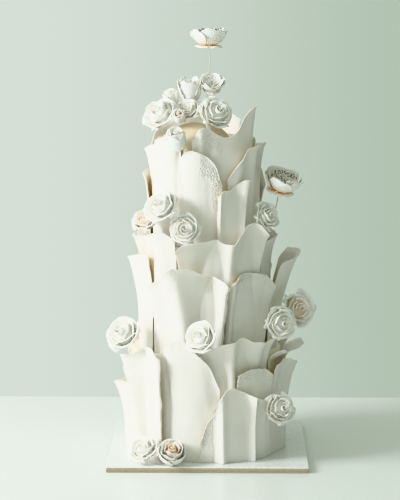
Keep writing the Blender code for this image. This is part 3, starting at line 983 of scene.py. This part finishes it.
@dataclass(frozen=True)
class Studio:
    """The floor, the light and the camera."""

    camera_at: tuple[float, float, float] = (0.0351, -2.8084, 0.7169)
    camera_down: float = 8.2211
    camera_left: float = 0.98834
    lens: float = 133.36
    floor_back: float = 0.357
    sky: tuple[tuple[float, tuple[float, float, float]], ...] = (
        (0.0, (0.68, 0.69, 0.63)), (0.44, (0.64, 0.70, 0.64)), (0.56, (0.42, 0.51, 0.42)), (1.0, (0.20, 0.22, 0.19)))

    def floor(self) -> None:
        """Lays the pale floor, whose far edge is the horizon."""
        deselect_all()
        bpy.ops.mesh.primitive_grid_add(x_subdivisions=8, y_subdivisions=8, size=1.0)
        ground = bpy.context.object
        ground.name = ground.data.name = "floor"
        places = get_corners(ground.data)
        places[:, 0] *= 6.0
        places[:, 1] = (places[:, 1] + 0.5) * -4.0 + self.floor_back
        set_corners(ground.data, places)
        ground.data.flip_normals()
        ground.data.materials.append(PlainGround("pale_ground").build())
        ground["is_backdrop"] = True

    def lights(self) -> None:
        """Hangs the broad window light on the left."""
        for name, place, size, power, colour in (
                ("window", (-2.03, -0.90, 1.25), 0.9, 60.0, (1.0, 1.02, 1.08)),
        ):
            bpy.ops.object.light_add(type="AREA", location=place)
            lamp = bpy.context.object
            lamp.name = name
            lamp.data.shape = "SQUARE"
            lamp.data.size = size
            lamp.data.energy = power
            lamp.data.color = colour
            lamp.rotation_euler = (Vector((0, 0, 0.3)) - lamp.location).to_track_quat("-Z", "Y").to_euler()

    def surroundings(self) -> None:
        """Fills the room with pale green light."""
        world = bpy.context.scene.world or bpy.data.worlds.new("room")
        bpy.context.scene.world = world
        world.use_nodes = True
        tree = world.node_tree
        sky = tree.nodes["Background"]
        place, parts = tree.nodes.new("ShaderNodeTexCoord"), tree.nodes.new("ShaderNodeSeparateXYZ")
        span = tree.nodes.new("ShaderNodeMapRange")
        span.inputs["From Min"].default_value = -1.0
        tree.links.new(place.outputs["Generated"], parts.inputs["Vector"])
        tree.links.new(parts.outputs["X"], span.inputs["Value"])
        ramp = Finish.ramp(tree, span.outputs["Result"], self.sky)
        tree.links.new(ramp, sky.inputs["Color"])
        sky.inputs["Strength"].default_value = 1.12
        bpy.context.scene.view_settings.view_transform = "Khronos PBR Neutral"

    def camera(self) -> None:
        """Sets up the camera."""
        bpy.ops.object.camera_add(location=self.camera_at, rotation=(
            math.radians(90 - self.camera_down), 0.0, math.radians(self.camera_left)))
        camera = bpy.context.object
        camera.data.lens = self.lens
        camera.data.sensor_width = 36.0
        bpy.context.scene.camera = camera


SHEETS = (
    # bottom tier, from the left round the front to the right
    Sheet("sheet_1_left_inner", 0, 0, FLOOR, (-104, -62), (-104, -62), (126, 131, 131, 127), 8),
    Sheet("sheet_1_left_low", 0, 1, FLOOR, (-118, -49), (-118, -60), (98, 104, 108, 113, 119), 13,
          (Fold(0.3, -4, 0.1, 0.3), Fold(0.55, 7, 0.09, 0.5), Fold(0.8, -5, 0.1, 0.5))),
    Sheet("sheet_1_left_tall", 0, 2, FLOOR, (-46, -28), (-60, -27), (164, 167, 175, 180, 178, 168), 11,
          (Fold(0.03, 12, 0.15, 0.6), Fold(0.42, -10, 0.15, 0.6), Fold(0.94, 12, 0.14, 1.0)), 0.1),
    Sheet("sheet_1_front_tall", 0, 1, FLOOR, (-41, 14), (-42, 10),
          (150, 166, 183, 193, 192, 174, 158, 122), 11,
          (Fold(0.06, -13, 0.13, 0.3), Fold(0.24, -8, 0.06, 0.8), Fold(0.5, 4, 0.25, 0.3),
           Fold(1.0, -6, 0.12, 1.0))),
    Sheet("sheet_1_right_tall", 0, 0, 46, (4, 52), (-3, 51), (176, 183, 193, 198, 190, 188, 190), 17,
          (Fold(0.0, -11, 0.14), Fold(0.22, -5, 0.08), Fold(0.37, 13, 0.07, 0.3), Fold(0.55, -9, 0.09),
           Fold(0.76, 5, 0.08, 0.0), Fold(0.92, -4, 0.08, 0.0)), 0.6),
    Sheet("sheet_1_front_wing", 0, 2, FLOOR, (-5, 10), (-3, 11), (40, 70, 84, 93), 3),
    Sheet("sheet_1_front_low", 0, 3, FLOOR, (6, 46), (5, 44), (92, 117, 123, 118, 109, 103, 98), 5,
          (Fold(0.15, 10, 0.07, 0.8), Fold(0.42, -2, 0.12, 1.0), Fold(0.67, 16, 0.055, 0.6),
           Fold(0.84, -4, 0.07, 0.9))),
    Sheet("sheet_1_right_low", 0, 2, FLOOR, (21.5, 51), (21.5, 51), (140, 147, 148, 146, 136), 4,
          (Fold(0.95, 3, 0.1, 0.0),)),
    Sheet("sheet_1_right_outer", 0, 1, FLOOR, (51.8, 98), (51.8, 98), (150, 154, 148, 138, 134), 14,
          (Fold(0.25, -5, 0.1, 0.6), Fold(0.55, 5, 0.1, 0.6), Fold(0.8, -4, 0.1, 0.6))),
    Sheet("sheet_1_right_flared", 0, 0, 60, (53, 104), (52.2, 104), (174, 165, 167, 170, 172, 168), 27,
          (Fold(0.25, -10, 0.1), Fold(0.6, 5, 0.12, 0.0)), 0.78),
    Sheet("sheet_1_back_right", 0, 0, FLOOR, (106, 152), (106, 152), (170, 178, 186, 182, 172), 14,
          (Fold(0.3, 7), Fold(0.65, -6)), 0.55),
    Sheet("sheet_1_back", 0, 1, FLOOR, (148, 204), (148, 204), (150, 168, 182, 188, 180, 166), 12,
          (Fold(0.2, 7), Fold(0.5, -5), Fold(0.8, 7))),
    Sheet("sheet_1_back_left", 0, 0, FLOOR, (200, 254), (200, 254), (172, 184, 190, 180, 170, 160), 14,
          (Fold(0.3, -6), Fold(0.6, 8)), 0.55),
    # middle tier
    Sheet("sheet_2_left_low", 1, 1, LEDGE_1, (-108, -51.5), (-116, -50), (292, 299, 304, 311, 316), 12,
          (Fold(0.3, -4, 0.1), Fold(0.5, 5, 0.08), Fold(0.78, -5, 0.1))),
    Sheet("sheet_2_front_low", 1, 1, LEDGE_1, (-50, 14), (-48, 18),
          (266, 274, 281, 290, 301, 300, 298, 291, 289, 283, 272), 13,
          (Fold(0.1, 4, 0.1, 0.3), Fold(0.36, 15, 0.13, 0.75, 0.57), Fold(0.5, 6, 0.3, 0.8),
           Fold(0.79, -12, 0.13, 0.8), Fold(0.96, 13, 0.08, 0.9))),
    Sheet("sheet_2_right_low", 1, 1, LEDGE_1, (15, 58), (19.2, 64), (276, 287, 289, 287, 281, 262), 10,
          (Fold(0.1, 7, 0.07, 0.9), Fold(0.4, -14, 0.18, 0.6), Fold(0.97, 7, 0.15))),
    Sheet("sheet_2_right_flared", 1, 1, LEDGE_1, (66, 106), (66, 112), (300, 303, 310, 314, 312, 300), 22,
          (Fold(0.45, 20, 0.3, 0.4),), 0.2),
    Sheet("sheet_2_left_high", 1, 0, 236, (-98, -27), (-98, -25), (336, 338, 339, 340, 346, 350, 343), 11,
          (Fold(0.33, 5, 0.09, 0.0), Fold(0.52, -9, 0.08, 0.6), Fold(0.78, 6, 0.12, 0.6)), 0.5),
    Sheet("sheet_2_front_high", 1, 0, 240, (-21, 52), (-22, 53),
          (325, 334, 337, 338, 339, 341, 334, 336, 347, 358, 363, 362, 345), 13,
          (Fold(0.0, 11, 0.2, 0.6), Fold(0.4, -9, 0.15, 0.6), Fold(0.57, 11, 0.06, 0.5),
           Fold(0.82, -9, 0.1), Fold(1.0, 8, 0.08, 0.3)), 0.35),
    Sheet("sheet_2_right_back_high", 1, 0, 236, (57, 104), (57, 104), (333, 336, 340, 342, 338), 9,
          (Fold(0.4, 4), Fold(0.7, -4)), 0.55),
    Sheet("sheet_2_back_right_low", 1, 1, LEDGE_1, (110, 172), (114, 174), (282, 296, 306, 300, 290, 280), 10,
          (Fold(0.3, 7), Fold(0.6, -4), Fold(0.85, 6))),
    Sheet("sheet_2_back_left_low", 1, 1, LEDGE_1, (178, 246), (178, 240), (270, 288, 302, 308, 300, 286), 10,
          (Fold(0.25, 7), Fold(0.5, -4), Fold(0.75, 7))),
    Sheet("sheet_2_back_right_high", 1, 0, 236, (106, 184), (106, 184), (336, 346, 354, 348, 338, 334), 10,
          (Fold(0.35, 5), Fold(0.7, -4)), 0.55),
    Sheet("sheet_2_back_left_high", 1, 0, 236, (186, 260), (186, 260), (334, 344, 352, 356, 344, 336), 10,
          (Fold(0.3, -4), Fold(0.65, 5)), 0.55),
    # top tier
    Sheet("sheet_3_front_lace", 2, 2, LEDGE_2, (-27, 16), (-27, 17), (459, 469, 472, 470, 462, 449, 420), 4,
          (Fold(0.0, -4, 0.1, 0.8), Fold(0.4, 4, 0.25, 0.5))),
    Sheet("sheet_3_right_low", 2, 3, LEDGE_2, (11, 41), (11, 45), (404, 413, 413, 421, 428, 428), 5,
          (Fold(0.08, 7, 0.07, 0.8), Fold(0.5, -6, 0.14, 0.8), Fold(0.85, 8, 0.09, 0.8))),
    Sheet("sheet_3_right", 2, 1, LEDGE_2, (26, 98), (22, 98),
          (432, 452, 468, 475, 477, 478, 478, 477, 474), 8,
          (Fold(0.16, 7, 0.08, 0.0), Fold(0.42, 6, 0.09, 0.3), Fold(0.6, -8, 0.07, 0.8)), 0.5),
    Sheet("sheet_3_left", 2, 0, LEDGE_2, (-98, -28), (-98, -28), (464, 469, 476, 484, 491, 494), 9,
          (Fold(0.2, 5, 0.08, 0.5), Fold(0.45, -5, 0.1), Fold(0.75, 5, 0.2, 0.6),
           Fold(1.0, -6, 0.06, 0.8)), 0.5),
    Sheet("sheet_3_left_low", 2, 2, LEDGE_2, (-150, -82), (-150, -78), (400, 416, 430, 434, 429), 7,
          (Fold(0.5, 4), Fold(0.95, 3))),
    Sheet("sheet_3_top_front", 2, 0, 396, (-14, 60), (-14, 61),
          (486, 503, 505, 497, 491, 492, 501, 522, 533, 535), 6,
          (Fold(0.13, 9, 0.08, 0.3), Fold(0.5, -4, 0.2), Fold(0.95, 4)), 0.55),
    Sheet("sheet_3_back_low", 2, 2, LEDGE_2, (104, 176), (104, 176), (410, 430, 446, 440, 426, 412), 8,
          (Fold(0.3, 6), Fold(0.7, 6))),
    Sheet("sheet_3_back", 2, 0, LEDGE_2, (142, 260), (142, 260), (508, 522, 532, 534, 508, 490, 472), 8,
          (Fold(0.25, 4, 0.12, 0.0), Fold(0.5, -3), Fold(0.75, 5, 0.12, 0.0)), 0.5),
)

FLOWERS = (
    Flower("rose_board_front", Kind.ROSE, -18.8, 148, 26.4, 47, 2, 48, 10),
    Flower("rose_board_left", Kind.OPEN, -35.5, 148, 22.5, 47, -35, 50, 40),
    Flower("rose_right_foot", Kind.ROSE, 48, 147, 84, 47, 25, 18, 20),
    Flower("rose_left_side", Kind.OPEN, -59, 136, 186, 55, -30, 35, 0),
    Flower("rose_front_middle", Kind.ROSE, -1, 136, 198, 49, -35, 30, 60),
    Flower("rose_right_middle", Kind.ROSE, 55, 134.5, 210, 49, 25, 8, 0),
    Flower("rose_right_back", Kind.OPEN, 77.5, 139, 224, 59.4, 25, 15, 30),
    Flower("rose_left_upper", Kind.ROSE, -33, 112, 387, 54, -32, 35, 15),
    Flower("rose_left_lower", Kind.OPEN, -53, 102, 360, 45, -38, 45, 50),
    Flower("rose_front_upper", Kind.ROSE, -15, 109, 356, 45, -5, 12, 35),
    Flower("flower_right_wired", Kind.CUP, 75, 116, 408, 62, 40, 68, 0),
    Flower("rose_right_upper", Kind.OPEN, 59, 99, 367, 43, 45, 20, 80),
    Flower("rose_top_left", Kind.ROSE, -62, 74, 518, 55, -40, 42, 25),
    Flower("bud_top_left", Kind.BUD, -25.5, 98.7, 487, 32, -15, 60, 0),
    Flower("bud_top_front", Kind.BUD, -33.5, 72, 519, 21, -10, 40, 0),
    Flower("rose_top_right", Kind.ROSE, 11, 54, 521, 51, 24, 30, 45),
    Flower("rose_top_middle", Kind.OPEN, -49, 33, 521, 37, -15, 35, 0),
    Flower("flower_top_left_open", Kind.BUD, -80, 26, 555.2, 38, -20, 78, 0),
    Flower("bud_top_back", Kind.BUD, -86, 53.5, 543, 25, -40, 65, 0),
    Flower("flower_top_cup", Kind.CUP, 75, 7.5, 559, 40, 15, 52, 20),
    Flower("flower_top_wired", Kind.CUP, 90, 5, 627.5, 57, 0, 88, 0),
    Flower("rose_back", Kind.ROSE, 170, 116.8, 350, 46, 178, 25, 0),
)

WIRES = (
    Wire("wire_top", ((0, 24, 485.6), (1, 24, 550), (5, 17, 590), (5, 0, 617.1))),
    Wire("wire_right", ((88, -18, 326), (92, -26, 350), (105, -28, 378), (109.2, -26.6, 397.2))),
)

LACE = {
    "sheet_3_front_lace": (Lace((0.46, 1.0), (0.74, 1.0), 1.4, 0.08), Lace((0.74, 0.97), (0.45, 1.0), 1.1, 0.06)),
    "sheet_3_top_front": (Lace((0.12, 0.40), (0.70, 1.0), 1.3, 0.06),),
    "sheet_2_front_low": (Lace((0.30, 0.44), (0.76, 1.0), 1.2, 0.04), Lace((0.06, 0.14), (0.55, 0.72), 0.9, 0.04),
                          Lace((0.72, 0.84), (0.78, 1.0), 1.2, 0.04), Lace((0.93, 1.0), (0.78, 1.0), 1.4, 0.03)),
    "sheet_2_right_low": (Lace((0.04, 0.92), (0.90, 1.0), 1.6, 0.04),),
    "sheet_1_front_wing": (Lace((0.0, 1.0), (0.0, 1.0), 0.7, 0.05),),
    "sheet_1_front_low": (Lace((0.0, 0.2), (0.80, 1.0), 1.0, 0.05),),
    "sheet_1_right_low": (Lace((0.0, 1.0), (0.88, 1.0), 1.2, 0.04),),
    "sheet_1_right_outer": (Lace((0.0, 1.0), (0.88, 1.0), 1.0, 0.04),),
    "sheet_1_left_inner": (Lace((0.0, 1.0), (0.9, 1.0), 1.0, 0.05),),
}
RAGGED = {"sheet_1_left_inner": 2.0, "sheet_3_front_lace": 1.3}
LIPS = {"sheet_1_right_tall": 3.0, "sheet_2_front_low": 2.4, "sheet_3_right": 2.6, "sheet_2_front_high": 2.4}

WHORLS = {
    Kind.ROSE: (
        Whorl(5, 0.05, 0.03, 0.49, 0.40, 56, 0.12, 0.035, 0.74, 0, 0.0, 0.0, 0.2),
        Whorl(4, 0.05, 0.08, 0.39, 0.52, 60, 0.10, 0.032, 0.82, 40, 0.0, 0.0, 0.4),
        Whorl(3, 0.05, 0.10, 0.27, 0.61, 68, 0.06, 0.028, 0.95, 10, 0.0, 0.0, 0.6),
    ),
    Kind.OPEN: (
        Whorl(5, 0.04, 0.01, 0.50, 0.40, 54, 0.13, 0.055, 0.68, 0, 0.02, 0.0, 0.3),
        Whorl(4, 0.04, 0.06, 0.38, 0.50, 58, 0.11, 0.050, 0.80, 36, 0.02, 0.0, 0.4),
        Whorl(3, 0.04, 0.08, 0.25, 0.57, 68, 0.07, 0.040, 0.95, 10, 0.01, 0.0, 0.6),
    ),
    Kind.CUP: (
        Whorl(5, 0.05, 0.06, 0.49, 0.47, 44, 0.03, 0.020, 0.88, 0, 0.02, 0.0, 0.6),
        Whorl(6, 0.05, 0.09, 0.41, 0.50, 32, 0.02, 0.020, 0.86, 25, 0.03, 0.03, 0.8),
        Whorl(5, 0.04, 0.04, 0.36, 0.04, 36, 0.03, 0.020, 0.70, 18, 0.03, 0.0, 1.8),
    ),
    Kind.BUD: (
        Whorl(3, 0.05, 0.0, 0.40, 0.98, 70, 0.06, 0.02, 1.35, 0, 0.05, 0.0, 0.5),
        Whorl(3, 0.05, 0.05, 0.28, 1.02, 76, 0.04, 0.02, 1.5, 60, 0.03, 0.0, 0.7),
    ),
    Kind.TALL: (
        Whorl(4, 0.05, 0.0, 0.45, 0.88, 62, 0.07, 0.05, 1.12, 15, 0.10, 0.0, 0.3, 0.14),
        Whorl(4, 0.05, 0.05, 0.36, 1.00, 50, 0.04, 0.05, 1.15, 60, 0.08, 0.0, 0.6, 0.16),
    ),
    Kind.GLOBE: (
        Whorl(4, 0.05, 0.0, 0.43, 0.52, 66, 0.07, 0.030, 1.18, 20, 0.0, 0.0, 0.3),
        Whorl(4, 0.05, 0.05, 0.34, 0.60, 62, 0.06, 0.035, 1.15, 50, 0.0, 0.0, 0.7),
        Whorl(3, 0.04, 0.08, 0.225, 0.64, 66, 0.05, 0.040, 1.10, 10, 0.0, 0.0, 1.0),
    ),
}
HEARTS = {Kind.ROSE: Heart(1.5, 0.14, 0.15, 0.66, 0.04, 0.35, 0.19), Kind.OPEN: Heart(1.4, 0.13, 0.10, 0.56, 0.05, 0.34, 0.16),
          Kind.BUD: Heart(1.4, 0.13, 0.20, 1.03), Kind.TALL: Heart(1.4, 0.14, 0.10, 0.70),
          Kind.GLOBE: Heart(1.3, 0.12, 0.18, 0.66, 0.05)}
MIDDLES = {Kind.ROSE: 0.33, Kind.OPEN: 0.23, Kind.CUP: 0.17, Kind.BUD: 0.52, Kind.TALL: 0.52, Kind.GLOBE: 0.33}
FORMS = {"flower_top_left_open": Kind.TALL, "rose_board_front": Kind.GLOBE, "rose_left_side": Kind.ROSE}
THREADS = {"flower_top_cup": 5}
WARMTH = {"rose_board_front": 1.0, "flower_top_wired": 0.8, "flower_right_wired": 0.9, "bud_top_front": 0.8,
          "rose_right_back": 0.6, "rose_left_lower": 0.6}


def main() -> None:
    """Builds every piece in order, then the studio."""
    logging.basicConfig(level=logging.INFO, format="%(message)s")
    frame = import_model()
    cad_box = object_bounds()
    # Each paste's crevice colour is painted shade, multiplied in where ambient occlusion is high.
    paste = SugarPaste("sugar_paste", light=(0.875, 0.845, 0.80), dark=(0.85, 0.815, 0.76)).build()
    # The top tier's icing and its mound are a dark warm ochre: painted shade for the gaps between the top sheets,
    # where the tier shows through.
    icing = SugarPaste("under_icing", light=(0.72, 0.62, 0.46), dark=(0.68, 0.57, 0.41)).build()
    hidden_icing = SugarPaste("hidden_icing", light=(0.93, 0.87, 0.75), dark=(0.90, 0.83, 0.69),
                              painted_crevice_shade=(1.0, 0.95, 0.85)).build()
    petal = SugarPaste("petal_paste", light=(0.98, 0.965, 0.925), dark=(0.97, 0.95, 0.90),
                       painted_crevice_shade=(1.0, 0.92, 0.78), reach=0.005, glow=0.4, blush=(1.0, 0.72, 0.50)).build()
    dust = SugarPaste("stamen_dust", light=(0.36, 0.29, 0.18), dark=(0.12, 0.11, 0.08),
                      painted_crevice_shade=(1.0, 0.9, 0.8), reach=0.004, glow=0.0).build()
    board = frame["nodes"]["board"]
    board.data.materials.clear()
    board.data.materials.append(CoveredBoard("covered_board").build())
    low = FLOOR
    for name, radius, high in zip(("tier_bottom", "tier_middle", "tier_top"), TIER_RADII, TIER_TOPS):
        topmost = name == "tier_top"
        tier = Tier(name, radius, low, high, Mound() if topmost else None)
        LOG.info("tier %s", tier.make(icing if topmost else hidden_icing).name)
        low = high + GAP
    sheets = SheetMaker(paste, LACE, RAGGED, LIPS)
    for sheet in SHEETS:
        LOG.info("sheet %s: %d faces", sheet.name, len(sheets.make(sheet).data.polygons))
    flowers = FlowerMaker(petal, dust, WHORLS, HEARTS, MIDDLES, FORMS, THREADS, WARMTH,
                          tuple(np.array(corner) for corner in cad_box))
    flowers.cut_blank()
    for flower in FLOWERS:
        LOG.info("flower %s: %d faces", flower.name, len(flowers.make(flower).data.polygons))
    bpy.data.objects.remove(flowers.blank, do_unlink=True)
    paper = PaperWire("paper_wire").build()
    for wire in WIRES:
        LOG.info("wire %s", wire.make(paper).name)
    studio = Studio()
    studio.floor()
    studio.lights()
    studio.surroundings()
    studio.camera()


if __name__ == "__main__":
    main()
